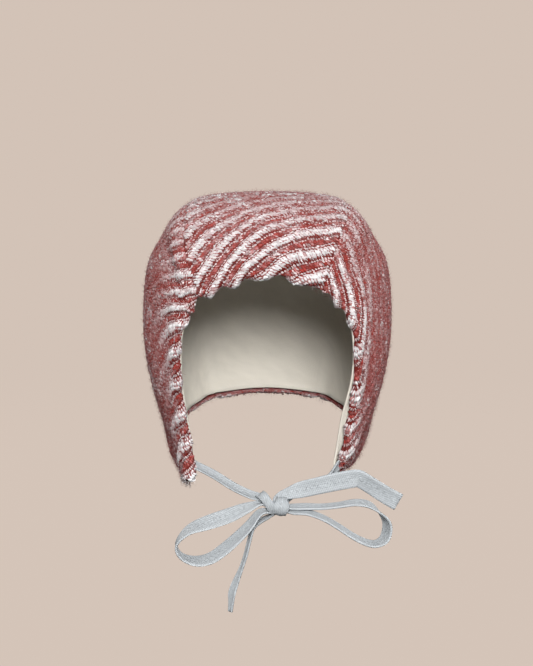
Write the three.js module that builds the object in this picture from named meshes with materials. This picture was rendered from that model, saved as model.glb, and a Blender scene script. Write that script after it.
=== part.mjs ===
// A baby's bonnet of striped knitted wool with a plain jersey lining, tied under the chin with a bow.
//
// Millimetres, +Z up, +Y to the back of the head, +X to the right of someone facing the bonnet.
// The origin is the point of the lining that the crown of the head touches.
import * as THREE from "three";

// Walls, from the head outwards.
const LINING_WALL = 1.0;
const LAYER_GAP = 0.6;
const KNIT_WALL = 2.6;
const KNIT_INSIDE = LINING_WALL + LAYER_GAP;
const KNIT_OUTSIDE = KNIT_INSIDE + KNIT_WALL;

// The blunt lower tip of each side, where the front edge and the neck edge meet. The left one hangs lower.
const TIP_HALF_WIDTH = 40.5;
const TIP_FRONT = { y: -54, z: -148.5 };
const TIP_BACK = { y: -44, z: -150 };
const LEFT_TIP_SAG = 3;

// Head-side sections, each in a plane that fans out from the tips, from the front edge to the neck edge.
// y and z place the section's top on the middle line, and the other columns are half widths on the
// way up from the tip.
const SECTIONS = [
  { at: "brow", y: -60, z: -38, jaw: 43.5, ear: 47.5, temple: 47.5, shoulder: 41.5 },
  { at: "forehead", y: -52, z: -17, jaw: 46.5, ear: 51.5, temple: 52, shoulder: 48 },
  { at: "fore crown", y: -30, z: -3, jaw: 51, ear: 59, temple: 60, shoulder: 54.5 },
  { at: "crown", y: 0, z: 0, jaw: 54.5, ear: 65.5, temple: 66.5, shoulder: 60 },
  { at: "back crown", y: 36, z: -5, jaw: 56.5, ear: 68, temple: 69, shoulder: 62.5 },
  { at: "upper back", y: 62, z: -29, jaw: 56, ear: 67, temple: 67.5, shoulder: 60 },
  { at: "back", y: 74, z: -63, jaw: 54, ear: 63, temple: 62.5, shoulder: 55 },
  { at: "lower back", y: 70, z: -95, jaw: 51.5, ear: 58, temple: 55.5, shoulder: 48 },
  { at: "nape", y: 57, z: -118, jaw: 48.5, ear: 52, temple: 48.5, shoulder: 41 },
];
// Where the panel seams cross the sections: how far to each side, and how far under the section's top.
const SEAMS = {
  "brow": { left: 37.5, leftDrop: 12.3, right: 30.5, rightDrop: 8.8 },
  "forehead": { left: 44.5, leftDrop: 12, right: 37.6, rightDrop: 8 },
  "fore crown": { left: 45.5, leftDrop: 7.8, right: 44.5, rightDrop: 6.8 },
  "crown": { left: 44, leftDrop: 5.4, right: 44, rightDrop: 5.2 },
  "back crown": { left: 42.5, leftDrop: 6, right: 42.5, rightDrop: 6 },
  "upper back": { left: 40.5, leftDrop: 8, right: 40.5, rightDrop: 8 },
  "back": { left: 38, leftDrop: 9, right: 38, rightDrop: 9 },
  "lower back": { left: 34.5, leftDrop: 9, right: 34.5, rightDrop: 9 },
  "nape": { left: 31.5, leftDrop: 8, right: 31.5, rightDrop: 8 },
};
// How far up the section, from tip to top, each half width lies.
const HEIGHTS = { jaw: 0.2, ear: 0.45, temple: 0.7, shoulder: 0.83 };

// Gathers of the turned front edge: along runs from the left tip (0) over the brow to the right tip (1),
// rise is the puff's height, spread its half width along the edge, and drift how far along the edge
// it moves on its way back.
const GATHERS = [
  { along: 0.047, rise: 0.9, spread: 6, drift: -16 },
  { along: 0.114, rise: 1.0, spread: 6.5, drift: -24 },
  { along: 0.181, rise: 1.1, spread: 6.5, drift: -26 },
  { along: 0.247, rise: 1.3, spread: 6, drift: -27 },
  { along: 0.299, rise: 1.5, spread: 5.5, drift: -25 },
  { along: 0.338, rise: 1.6, spread: 5, drift: -24 },
  { along: 0.397, rise: 1.9, spread: 5, drift: 34 },
  { along: 0.445, rise: 1.9, spread: 5, drift: 37 },
  { along: 0.503, rise: 1.8, spread: 5.5, drift: 39 },
  { along: 0.571, rise: 1.8, spread: 5.5, drift: 38 },
  { along: 0.629, rise: 1.7, spread: 5, drift: -20 },
  { along: 0.694, rise: 1.5, spread: 6, drift: -22 },
  { along: 0.767, rise: 1.3, spread: 6.5, drift: 4 },
  { along: 0.863, rise: 1.1, spread: 6, drift: 5 },
  { along: 0.917, rise: 1.0, spread: 5.5, drift: 4 },
  { along: 0.964, rise: 0.9, spread: 5, drift: 0 },
];
const GATHER_LENGTH = 24;
const EDGE_ROLL = 1.0;
const EDGE_ROLL_LENGTH = 9;

// Sewn seams between the middle panel and the side panels.
const SEAM_GAP = 0.3;
const SEAM_DEPTH = 1.1;
const SEAM_WIDTH = 3.5;

// Facets of the walls.
const STEPS_BACK = 30;
const STEPS_PANEL = 16;
const STEPS_SIDE = 14;
const LINING_STEPS_BACK = 20;
const LINING_STEPS_PANEL = 12;
const LINING_STEPS_SIDE = 8;

// Ribbon ties, in stretches between the tips, the knot and the free ends. Each route's rows give the
// middle of the ribbon, its width there, and its turn: 0 faces forward and 90 shows its edge.
const FORWARD = new THREE.Vector3(0, -1, 0);
const RIBBON_THICK = 1.5;
const RIBBON_SOFT = 0.5;
const ROUTES = {
  strap_left: [
    { x: -40.6, y: -55.4, z: -146.8, width: 6, turn: 35 },
    { x: -30, y: -62, z: -151, width: 7.5, turn: 45 },
    { x: -19, y: -69, z: -156.5, width: 8, turn: 45 },
    { x: -10, y: -73, z: -160, width: 6, turn: 40 },
    { x: -3.6, y: -76, z: -161.1, width: 5, turn: 35 },
  ],
  strap_right: [
    { x: 40.6, y: -56.6, z: -145.5, width: 6, turn: 35 },
    { x: 34.5, y: -61.5, z: -152, width: 7.5, turn: 50 },
    { x: 24.5, y: -66, z: -156, width: 8, turn: 50 },
    { x: 16.5, y: -69.5, z: -159, width: 6, turn: 45 },
    { x: 10.2, y: -74.2, z: -162.9, width: 5, turn: 40 },
  ],
  loop_left: [
    { x: -5.1, y: -79, z: -164, width: 5, turn: 65 },
    { x: -12, y: -80, z: -165, width: 7, turn: 55 },
    { x: -21, y: -81, z: -168, width: 9, turn: 38 },
    { x: -32, y: -82, z: -172, width: 10, turn: 36 },
    { x: -42, y: -82.5, z: -176.5, width: 10, turn: 54 },
    { x: -48, y: -82.5, z: -182.5, width: 10, turn: 78 },
    { x: -50, y: -82.5, z: -187.5, width: 10, turn: 84 },
    { x: -47, y: -82.5, z: -192.5, width: 10, turn: 78 },
    { x: -39.5, y: -83, z: -195, width: 10, turn: 62 },
    { x: -31.5, y: -83.5, z: -193.5, width: 10, turn: 55 },
    { x: -24, y: -83.5, z: -188.5, width: 10, turn: 55 },
    { x: -16.5, y: -83.5, z: -182, width: 9, turn: 58 },
    { x: -10.5, y: -83, z: -176, width: 7, turn: 65 },
    { x: -4.2, y: -81, z: -168.6, width: 5, turn: 72 },
  ],
  loop_right: [
    { x: 14.2, y: -78.5, z: -165.3, width: 5, turn: 80 },
    { x: 21, y: -79, z: -165, width: 7, turn: 80 },
    { x: 29.5, y: -79.5, z: -165.5, width: 9, turn: 78 },
    { x: 39, y: -80, z: -164.5, width: 10, turn: 75 },
    { x: 48, y: -80.5, z: -163, width: 10, turn: 68 },
    { x: 55.5, y: -81, z: -164, width: 10, turn: 62 },
    { x: 61.5, y: -81.5, z: -168.5, width: 10, turn: 60 },
    { x: 65.5, y: -82, z: -174.5, width: 10, turn: 62 },
    { x: 64.5, y: -82, z: -182, width: 10, turn: 66 },
    { x: 60, y: -82, z: -185.5, width: 10, turn: 70 },
    { x: 54.5, y: -82, z: -185, width: 10, turn: 72 },
    { x: 47, y: -81.5, z: -181.5, width: 10, turn: 72 },
    { x: 38.5, y: -81, z: -176, width: 9, turn: 72 },
    { x: 30.5, y: -80.5, z: -171.5, width: 8, turn: 75 },
    { x: 22, y: -80, z: -169, width: 6, turn: 80 },
    { x: 13.9, y: -79.3, z: -168.8, width: 5, turn: 82 },
  ],
  tail_left: [
    { x: 1.2, y: -76.8, z: -171.4, width: 5, turn: 70 },
    { x: -3.5, y: -76, z: -174, width: 6, turn: 74 },
    { x: -8, y: -76.5, z: -178, width: 8, turn: 72 },
    { x: -10, y: -77, z: -185, width: 9, turn: 70 },
    { x: -12, y: -77.5, z: -193, width: 9.5, turn: 68 },
    { x: -14.5, y: -78, z: -200.5, width: 10, turn: 64 },
    { x: -17.5, y: -78.5, z: -208, width: 10, turn: 56 },
    { x: -19.5, y: -79, z: -214, width: 10, turn: 52 },
    { x: -20, y: -79, z: -219.5, width: 10, turn: 58 },
    { x: -20.5, y: -79, z: -224.5, width: 10, turn: 62 },
  ],
  tail_right: [
    { x: 8.5, y: -76.8, z: -159.2, width: 6, turn: 20 },
    { x: 18.5, y: -77, z: -156.5, width: 8, turn: 12 },
    { x: 28, y: -78.5, z: -154, width: 9.5, turn: 5 },
    { x: 38, y: -79.5, z: -151.5, width: 10, turn: 2 },
    { x: 45, y: -80, z: -150.5, width: 10, turn: 0 },
    { x: 51, y: -80, z: -152, width: 10, turn: 5 },
    { x: 58, y: -79.5, z: -155.5, width: 10, turn: 18 },
    { x: 65, y: -79, z: -159.5, width: 10, turn: 32 },
    { x: 72, y: -78.5, z: -163, width: 10, turn: 38 },
  ],
};
const RIBBON_STEPS = { strap: 10, loop: 36, tail: 20 };
const KNOT = {
  x: 4.5, y: -78.5, z: -166, halfLength: 9, radius: 4.6, depth: 1.1, fullness: 0.93, slant: -0.1,
  waist: 0.16, waistAt: -0.25, steps: 12, sides: 12,
};
const curve = (points) => new THREE.CatmullRomCurve3(points, false, "catmullrom", 0.5);
const vector = (x, y, z) => new THREE.Vector3(x, y, z);
const mix = THREE.MathUtils.lerp;

// The control points of one section, from the tip (first) to the middle line (last); side is -1 or 1.
function sectionPoints(section, index, side) {
  const back = index / (SECTIONS.length - 1);
  const sag = side < 0 ? LEFT_TIP_SAG : 0;
  const tip = { y: mix(TIP_FRONT.y, TIP_BACK.y, back), z: mix(TIP_FRONT.z, TIP_BACK.z, back) - sag };
  const reach = Math.hypot(section.y - tip.y, section.z - tip.z);
  const place = (half, share) =>
    vector(side * half, mix(tip.y, section.y, share), mix(tip.z, section.z, share));
  const widths = Object.entries(HEIGHTS).map(([name, share]) => place(section[name], share));
  const crossing = SEAMS[section.at];
  const half = side < 0 ? crossing.left : crossing.right;
  const drop = side < 0 ? crossing.leftDrop : crossing.rightDrop;
  const seam = place(half, 1 - drop / reach);
  return [place(TIP_HALF_WIDTH, 0), ...widths, seam, place(0, 1)];
}

const SEAM_COLUMN = 5;
const MIDDLE_COLUMN = 6;
const LAST_COLUMN = 2 * MIDDLE_COLUMN;

// One curve from front to back through each column of control points, left tip to right tip.
const columns = (() => {
  const rows = SECTIONS.map((section, index) => {
    const left = sectionPoints(section, index, -1);
    const right = sectionPoints(section, index, 1);
    return [...left.slice(0, -1), ...right.reverse()];
  });
  return rows[0].map((_, column) => curve(rows.map((row) => row[column])));
})();

// The head-side surface: back runs from the front edge (0) to the neck edge (1), and across is
// counted in columns, 0 at the left tip, 6 on the middle line and 12 at the right tip.
const arches = new Map();
function headPoint(back, across) {
  if (!arches.has(back)) arches.set(back, curve(columns.map((c) => c.getPoint(back))));
  return arches.get(back).getPoint(across / LAST_COLUMN);
}

const SLOPE = 1e-3;
function tangents(back, across) {
  const b0 = Math.max(0, back - SLOPE);
  const b1 = Math.min(1, back + SLOPE);
  const a0 = Math.max(0, across - SLOPE);
  const a1 = Math.min(LAST_COLUMN, across + SLOPE);
  return {
    backward: headPoint(b1, across).sub(headPoint(b0, across)).normalize(),
    rightward: headPoint(back, a1).sub(headPoint(back, a0)).normalize(),
  };
}

// A point of the wall at some distance outside the head-side surface.
function wallPoint(back, across, out) {
  const { backward, rightward } = tangents(back, across);
  const normal = rightward.clone().cross(backward).normalize();
  return headPoint(back, across).addScaledVector(normal, out);
}

// Distance along the front edge from the left tip, for the gathers.
const EDGE = curve(columns.map((c) => c.getPoint(0)));
const EDGE_LENGTH = EDGE.getLength();
function edgeDistance(across) {
  const lengths = EDGE.getLengths(240);
  const at = (across / LAST_COLUMN) * 240;
  const low = Math.min(239, Math.floor(at));
  return mix(lengths[low], lengths[low + 1], at - low);
}

const bell = (x) => Math.exp(-x * x);

// How far the knit's outer face stands proud of its plain wall: the turned edge, its gathers and the seams.
function relief(back, across) {
  const fromEdge = headPoint(back, across).distanceTo(headPoint(0, across));
  const along = edgeDistance(across);
  const fade = bell(fromEdge / GATHER_LENGTH);
  const puffs = GATHERS.map((g) => {
    const middle = g.along * EDGE_LENGTH + (g.drift * fromEdge) / GATHER_LENGTH;
    return g.rise * bell((along - middle) / (0.6 * g.spread));
  });
  const sides = [SEAM_COLUMN, LAST_COLUMN - SEAM_COLUMN];
  const toSeam = Math.min(...sides.map((c) => headPoint(back, across).distanceTo(headPoint(back, c))));
  const roll = EDGE_ROLL * bell(fromEdge / EDGE_ROLL_LENGTH);
  return roll + fade * puffs.reduce((sum, p) => sum + p, 0) - SEAM_DEPTH * bell(toSeam / SEAM_WIDTH);
}

// A closed body from rings of equally many points, with each ring's outer half joined to its inner half
// as the two end faces.
function loft(rings) {
  const count = rings[0].length;
  const positions = rings.flat().flatMap((p) => [p.x, p.y, p.z]);
  const index = [];
  const quad = (a, b, c, d) => index.push(a, c, b, a, d, c);
  for (let i = 0; i + 1 < rings.length; i++)
    for (let j = 0; j < count; j++) {
      const k = (j + 1) % count;
      quad(i * count + j, i * count + k, (i + 1) * count + k, (i + 1) * count + j);
    }
  const last = (rings.length - 1) * count;
  for (let j = 0; j < count / 2 - 1; j++) {
    const k = count - 1 - j;
    quad(j, k, k - 1, j + 1);
    quad(last + j, last + j + 1, last + k - 1, last + k);
  }
  const geometry = new THREE.BufferGeometry();
  geometry.setAttribute("position", new THREE.Float32BufferAttribute(positions, 3));
  geometry.setIndex(index);
  geometry.computeVertexNormals();
  return geometry;
}

const steps = (from, to, count) => Array.from({ length: count + 1 }, (_, i) => mix(from, to, i / count));

// A wall through stations across the bonnet, whose front and neck edges are rounded.
function wall(stations, inside, outside, stepsBack, proud) {
  const backs = steps(0, 1, stepsBack);
  const rings = stations.map((across) => {
    const outer = backs.map((back) => wallPoint(back, across, outside + proud(back, across)));
    const inner = backs.map((back) => wallPoint(back, across, inside));
    const rim = (back, forward, share) => {
      const edge = back === 0 ? 0 : stepsBack;
      const thick = outer[edge].distanceTo(inner[edge]);
      const round = Math.sin(Math.PI * share) * thick * 0.5;
      const way = tangents(back, across).backward.multiplyScalar(forward);
      return outer[edge].clone().lerp(inner[edge], share).addScaledVector(way, round);
    };
    const front = [rim(0, -1, 0.25), rim(0, -1, 0.75)];
    const neck = [rim(1, 1, 0.3), rim(1, 1, 0.7)];
    return [front[0], ...outer, ...neck, ...inner.reverse(), front[1]];
  });
  return loft(rings);
}

// The share of a column that half the seam's gap takes.
function seamShare() {
  const seam = headPoint(0.5, SEAM_COLUMN);
  return SEAM_GAP / seam.distanceTo(headPoint(0.5, SEAM_COLUMN - 1));
}

// A flat ribbon along a route, in even steps, with softened edges.
function ribbon(route, count) {
  const line = curve(route.map((r) => vector(r.x, r.y, r.z)));
  const sizes = curve(route.map((r) => vector(r.width, r.turn, 0)));
  const rings = steps(0, 1, count).map((share) => {
    const at = line.getUtoTmapping(share);
    const along = line.getTangent(at);
    const size = sizes.getPoint(at);
    const turn = THREE.MathUtils.degToRad(size.y);
    const forward = FORWARD.clone().addScaledVector(along, -FORWARD.dot(along)).normalize();
    const aside = along.clone().cross(forward);
    const wide = aside.multiplyScalar(Math.cos(turn)).addScaledVector(forward, Math.sin(turn));
    const thick = along.clone().cross(wide).normalize();
    const half = size.x / 2;
    const corner = ([u, v]) =>
      line.getPoint(at).addScaledVector(wide, u).addScaledVector(thick, v * RIBBON_THICK);
    const face = [[-half, 0.2], [-half + RIBBON_SOFT, 0.5], [half - RIBBON_SOFT, 0.5], [half, 0.2]];
    return [...face, ...face.map(([u, v]) => [u, -v]).reverse()].map(corner);
  });
  return loft(rings);
}

// The knot: a barrel across the bow, waisted where the ribbons pass under the wrap.
function knot() {
  const rings = steps(-1, 1, KNOT.steps).map((share) => {
    const round = Math.sqrt(1 - Math.abs(share * KNOT.fullness) ** 3);
    const radius = KNOT.radius * round * (1 - KNOT.waist * bell((share - KNOT.waistAt) / 0.16));
    return steps(0, 1, KNOT.sides).slice(0, -1).map((turn) => {
      const angle = 2 * Math.PI * (turn + 0.5 / KNOT.sides);
      const tilt = KNOT.slant * share * KNOT.halfLength;
      const y = KNOT.y + radius * KNOT.depth * Math.sin(angle);
      return vector(KNOT.x + share * KNOT.halfLength, y, KNOT.z + tilt + radius * Math.cos(angle));
    });
  });
  return loft(rings);
}

const KNIT = new THREE.MeshStandardMaterial({ color: 0x9c5b5a, roughness: 0.95, metalness: 0 });
const JERSEY = new THREE.MeshStandardMaterial({ color: 0xc9c8c2, roughness: 0.9, metalness: 0 });
const RIBBON = new THREE.MeshStandardMaterial({ color: 0xc3c8cb, roughness: 0.7, metalness: 0 });

function named(name, geometry, material) {
  const mesh = new THREE.Mesh(geometry, material);
  mesh.name = name;
  return mesh;
}

const bonnet = new THREE.Group();
const share = seamShare() / 2;
const LEFT_SEAM = SEAM_COLUMN;
const RIGHT_SEAM = LAST_COLUMN - SEAM_COLUMN;
const knit = (from, to, count) =>
  wall(steps(from, to, count), KNIT_INSIDE, KNIT_OUTSIDE, STEPS_BACK, relief);
const liningStations = [
  ...steps(0, LEFT_SEAM, LINING_STEPS_SIDE).slice(0, -1),
  ...steps(LEFT_SEAM, RIGHT_SEAM, LINING_STEPS_PANEL),
  ...steps(RIGHT_SEAM, LAST_COLUMN, LINING_STEPS_SIDE).slice(1),
];
const lining = wall(liningStations, 0, LINING_WALL, LINING_STEPS_BACK, () => 0);
bonnet.add(
  named("middle_panel", knit(LEFT_SEAM + share, RIGHT_SEAM - share, STEPS_PANEL), KNIT),
  named("side_panel_left", knit(0, LEFT_SEAM - share, STEPS_SIDE), KNIT),
  named("side_panel_right", knit(RIGHT_SEAM + share, LAST_COLUMN, STEPS_SIDE), KNIT),
  named("lining", lining, JERSEY),
  named("bow_knot", knot(), RIBBON),
);
for (const [name, route] of Object.entries(ROUTES))
  bonnet.add(named(`tie_${name}`, ribbon(route, RIBBON_STEPS[name.split("_")[0]]), RIBBON));

export default bonnet;
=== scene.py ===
"""Looks of a lined baby bonnet in striped knitted wool, tied under the chin with a ribbon bow.

Metres, in the frame of the solids: +Z up, +Y to the back of the head, and the origin where the
crown of the head touches the lining. The tables of the bonnet's form are in millimetres.
"""

import math
from collections import defaultdict, namedtuple

import bmesh
import bpy
import numpy as np
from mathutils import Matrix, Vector


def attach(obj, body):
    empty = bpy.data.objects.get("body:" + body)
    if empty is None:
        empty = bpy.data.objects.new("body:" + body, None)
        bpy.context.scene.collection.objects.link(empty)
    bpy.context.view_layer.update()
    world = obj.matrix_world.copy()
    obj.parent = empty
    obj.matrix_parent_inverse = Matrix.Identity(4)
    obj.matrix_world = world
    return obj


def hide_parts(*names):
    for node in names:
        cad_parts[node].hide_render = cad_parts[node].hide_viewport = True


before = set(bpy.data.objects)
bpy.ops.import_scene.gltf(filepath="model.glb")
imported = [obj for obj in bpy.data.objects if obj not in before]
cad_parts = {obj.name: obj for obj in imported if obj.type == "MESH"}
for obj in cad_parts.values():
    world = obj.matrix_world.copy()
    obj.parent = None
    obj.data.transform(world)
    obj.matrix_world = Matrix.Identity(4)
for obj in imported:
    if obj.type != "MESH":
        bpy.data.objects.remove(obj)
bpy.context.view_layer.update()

bl_info = {
    "name": "Knitted Bonnet",
    "version": (1, 0, 0),
    "blender": (4, 5, 0),
    "location": "3D View > Sidebar > Bonnet",
    "description": "Builds a lined, striped knitted baby bonnet tied with a ribbon bow",
    "category": "Add Mesh",
}

MM = 0.001
SEED = 11

# Form of the head-side surface, as in the solids.
TIP_HALF_WIDTH = 40.5
TIP_FRONT = (-54, -148.5)
TIP_BACK = (-44, -150)
LEFT_TIP_SAG = 3
Section = namedtuple("Section", "at y z jaw ear temple shoulder left left_drop right right_drop")
SECTIONS = (
    Section("brow", -60, -38, 43.5, 47.5, 47.5, 41.5, 37.5, 12.3, 30.5, 8.8),
    Section("forehead", -52, -17, 46.5, 51.5, 52, 48, 44.5, 12, 37.6, 8),
    Section("fore crown", -30, -3, 51, 59, 60, 54.5, 45.5, 7.8, 44.5, 6.8),
    Section("crown", 0, 0, 54.5, 65.5, 66.5, 60, 44, 5.4, 44, 5.2),
    Section("back crown", 36, -5, 56.5, 68, 69, 62.5, 42.5, 6, 42.5, 6),
    Section("upper back", 62, -29, 56, 67, 67.5, 60, 40.5, 8, 40.5, 8),
    Section("back", 74, -63, 54, 63, 62.5, 55, 38, 9, 38, 9),
    Section("lower back", 70, -95, 51.5, 58, 55.5, 48, 34.5, 9, 34.5, 9),
    Section("nape", 57, -118, 48.5, 52, 48.5, 41, 31.5, 8, 31.5, 8),
)
HEIGHTS = (0.2, 0.45, 0.7, 0.83)
LEFT_SEAM, MIDDLE, RIGHT_SEAM, LAST_COLUMN = 5, 6, 7, 12
LINING_WALL = 1.0 * MM
KNIT_OUTSIDE = 4.2 * MM

# One repeat of the stripes, from the red rows upwards: share is the course's place in the repeat, and
# each of its stitches is a bead of a size, leaning on the stripe by an angle. The beads of the white ribs
# have more sides.
SIDES = {"ribs": 5, "stitches": 3}
Course = namedtuple("Course", "name piece yarn share pitch shift length width thick lean")
COURSES = (
    Course("red row", "stitches", "red", 0.97, 1.5, 0, 2.1, 1.25, 0.9, -40),
    Course("upper red row", "stitches", "red", 0.08, 1.5, 0.5, 2.0, 1.2, 0.9, -40),
    Course("lower dots", "stitches", "pink", 0.19, 1.6, 0, 1.5, 1.1, 1.05, -25),
    # painted shade: the lower gaps between the dots and the teeth under the lower rib are stitches of the
    # red darkened, for the shade there
    Course("lower gaps", "stitches", "dark", 0.19, 1.6, 0.5, 1.2, 0.9, 0.9, -25),
    Course("teeth", "stitches", "dark", 0.305, 1.65, 0.5, 1.8, 0.8, 0.9, -50),
    # painted shade: the lower rib's yarn is the white darkened and tinged pink, for the shaded lower side of
    # each rib
    Course("lower rib", "ribs", "shaded_white", 0.425, 1.65, 0, 2.7, 1.15, 1.25, -50),
    Course("upper rib", "ribs", "white", 0.57, 1.65, 0.4, 2.7, 1.2, 1.3, -50),
    Course("rib edge", "stitches", "pale", 0.695, 2.0, 0, 2.4, 1.0, 1.1, -16),
    Course("upper dots", "stitches", "pink", 0.82, 1.6, 0.2, 1.5, 1.1, 1.1, -20),
    # painted shade: the upper gaps are stitches of the red darkened, for the shade between the upper dots
    Course("upper gaps", "stitches", "dark", 0.82, 1.6, 0.7, 1.2, 0.9, 0.95, -20),
)
RIB_CENTRE = 0.54
RIB_LEVEL = 0.35
REPEAT = 10.5 * MM


def unit(vectors):
    return vectors / np.linalg.norm(vectors, axis=-1, keepdims=True)


def bell(x):
    return np.exp(-np.square(x))


def spline_weights(count, at):
    """Rows of Catmull-Rom weights over count points, for positions counted in points."""
    at = np.clip(np.asarray(at, float), 0, count - 1)
    low = np.minimum(at.astype(int), count - 2)
    f = at - low
    taps = (
        -0.5 * f + f**2 - 0.5 * f**3,
        1 - 2.5 * f**2 + 1.5 * f**3,
        0.5 * f + 2 * f**2 - 1.5 * f**3,
        -0.5 * f**2 + 0.5 * f**3,
    )
    rows = np.zeros((len(at), count + 2))
    for k, tap in enumerate(taps):
        rows[np.arange(len(at)), low + k] += tap
    rows[:, 1] += 2 * rows[:, 0]
    rows[:, 2] -= rows[:, 0]
    rows[:, -2] += 2 * rows[:, -1]
    rows[:, -3] -= rows[:, -1]
    return rows[:, 1:-1]


def control_points():
    """Control points of the head-side surface: sections from front to neck, columns from tip to tip."""
    rows = []
    for index, section in enumerate(SECTIONS):
        back = index / (len(SECTIONS) - 1)
        halves = []
        left = (-1, LEFT_TIP_SAG, section.left, section.left_drop)
        right = (1, 0, section.right, section.right_drop)
        for side, sag, seam, drop in (left, right):
            tip = np.array(TIP_FRONT) * (1 - back) + np.array(TIP_BACK) * back - (0, sag)
            top = np.array((section.y, section.z))
            shares = (0, *HEIGHTS, 1 - drop / np.linalg.norm(top - tip), 1)
            widths = (TIP_HALF_WIDTH, section.jaw, section.ear, section.temple, section.shoulder, seam, 0)
            halves.append([(side * w, *(tip + (top - tip) * s)) for w, s in zip(widths, shares)])
        rows.append(halves[0][:-1] + halves[1][::-1])
    return np.array(rows) * MM


CONTROL = control_points()


def head_surface(backs, columns):
    """Grid of points of the lining's inner face: back from 0 to 1, columns from 0 to 12."""
    weights_back = spline_weights(len(SECTIONS), np.asarray(backs) * (len(SECTIONS) - 1))
    weights_across = spline_weights(LAST_COLUMN + 1, columns)
    return np.einsum("ik,klc,jl->ijc", weights_back, CONTROL, weights_across)


def directions(backs, columns):
    """Unit vectors of the head-side surface: backward, and outward."""
    step = 1e-3
    backward = head_surface(np.minimum(backs + step, 1), columns)
    backward -= head_surface(np.maximum(backs - step, 0), columns)
    rightward = head_surface(backs, np.minimum(columns + step, LAST_COLUMN))
    rightward -= head_surface(backs, np.maximum(columns - step, 0))
    return unit(backward), unit(np.cross(rightward, backward))


def lengths_along(points):
    """Distance run along a line of points."""
    return np.concatenate(([0], np.cumsum(np.linalg.norm(np.diff(points, axis=0), axis=1))))


def even_steps(values, points, spacing):
    """Values at even distances along a line of points."""
    run = lengths_along(points)
    return np.interp(np.linspace(0, run[-1], max(2, round(run[-1] / spacing) + 1)), run, values)


# Samples of a line before it is stepped evenly, and the way back at which columns are.
FINE = 400
COLUMNS_AT = 0.35


def even_grid(reference, first, last, spacing, samples=FINE):
    """Even rows and columns of the head-side surface, with its points, backward and outward there."""
    fine = np.linspace(0, 1, FINE)
    backs = even_steps(fine, head_surface(fine, [reference])[:, 0], spacing)
    fine = np.linspace(first, last, samples)
    columns = even_steps(fine, head_surface([COLUMNS_AT], fine)[0], spacing)
    return backs, columns, head_surface(backs, columns), *directions(backs, columns)


# Stripes: the number of repeats at each point of a panel, by its place and how far back its row is. Places
# are in millimetres, in the middle panel in centimetres.
FRONT_Y = -58
BROW_CORNER = (30, -58)


def soft_step(x, low, high):
    """Rises smoothly from 0 at low to 1 at high."""
    share = np.clip((x - low) / (high - low), 0, 1)
    return share * share * (3 - 2 * share)


def middle_stripes(points, backs):
    """Stripes that climb steeply from the left seam and more and more gently to the right one."""
    fine = np.linspace(0, 1, FINE)
    run = np.interp(backs, fine, lengths_along(head_surface(fine, [MIDDLE])[:, 0]))[:, None] / MM / 10
    across = points[..., 0] / MM / 10
    near = np.minimum(run, 5.5)
    edge = 0.48 - 0.58 * across + 0.032 * across**2 + 0.2 * bell(run / 0.5)
    return edge + near * (0.854 + 0.04 * near + 0.0325 * across - 0.013 * across**2) + 0.94 * (run - near)


def waver(points):
    """Slow irregularity of hand knitting, from -1 to 1."""
    x, y, z = np.moveaxis(points / MM, -1, 0)
    first = np.sin(x / 4.1 + y / 9.7 + 1.7 * np.sin(z / 7.3))
    return (first + np.sin(z / 3.7 - y / 5.3 + 1.3 * np.sin(x / 6.1))) / 2


def bend(x, at, change):
    """A slope that grows smoothly by a change near one place."""
    return change * 4 * np.logaddexp(0, (x - at) / 4)


def left_stripes(points, backs):
    """Stripes that fall to the back, but lie level and closer near the brow."""
    back = points[..., 1] / MM - FRONT_Y
    height = points[..., 2] / MM
    edge = 0.059 * (height + 69) + bend(height, -69, 0.052)
    level = soft_step(height, -85, -45)
    swing = 1.67 * level * np.tanh(back / 22) + 0.45 * (1 - level) * np.tanh(back / 9)
    return edge + 0.088 * back - swing + 0.31


def right_stripes(points, backs):
    """Stripes that fall to the front below the temple and to the back above it."""
    x, y, height = np.moveaxis(points / MM, -1, 0)
    edge = 0.038 * (height + 60) + bend(height, -58, -0.066) - bend(-height, 110, 0.05)
    swing = 0.45 * soft_step(-height, 80, 110) * np.tanh((y - FRONT_Y - 3) / 9)
    around = np.hypot(x - BROW_CORNER[0], y - BROW_CORNER[1])
    closer = 0.07 * (y - FRONT_Y) * bell((height + 60) / 30)
    return 0.093 * around - 0.45 * bell(around / 8) + closer - edge - swing + 0.06


# Wool: the brightness of brushed wool, darker in part as painted shade where the cloth turns away from the
# light, and the most white in its speckle, the share of white with the usual flecks, and how far the shading
# of a stitch follows the cloth that it lies on.
BRUSHED_SHADE = 0.86
MOST_WHITE = 0.85
WHITE_SHARE = 0.17
SOFTNESS = 0.55

# Away from the front edge the wool is brushed, and its colours run together into one with a share of
# white: low and high are the distances at which that is complete, by the tips and by the brow. The tip
# swells by a share, drops and is tucked in. Rows are spaced on the reference column, and lean scales that
# of the courses. Flat is the cut of the panel in metres.
Panel = namedtuple(
    "Panel", "name node first last reference stripes lean white low high swell drop tuck flat"
)
Flat = namedtuple("Flat", "width length area")
PANELS = (
    Panel(
        "middle", "middle_panel", LEFT_SEAM, RIGHT_SEAM, MIDDLE, middle_stripes,
        1.0, 0.25, 64, 64, 0, 0, 0, Flat(0.095, 0.262, 0.0222),
    ),
    Panel(
        "left", "side_panel_left", 0, LEFT_SEAM, 3, left_stripes,
        -1.4, 0.15, 18, 42, 1, 4.5, 2, Flat(0.185, 0.258, 0.0197),
    ),
    Panel(
        "right", "side_panel_right", RIGHT_SEAM, LAST_COLUMN, 9, right_stripes,
        -1.4, 0.11, 15, 36, 0.2, 1.5, 4, Flat(0.183, 0.257, 0.0197),
    ),
)

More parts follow.
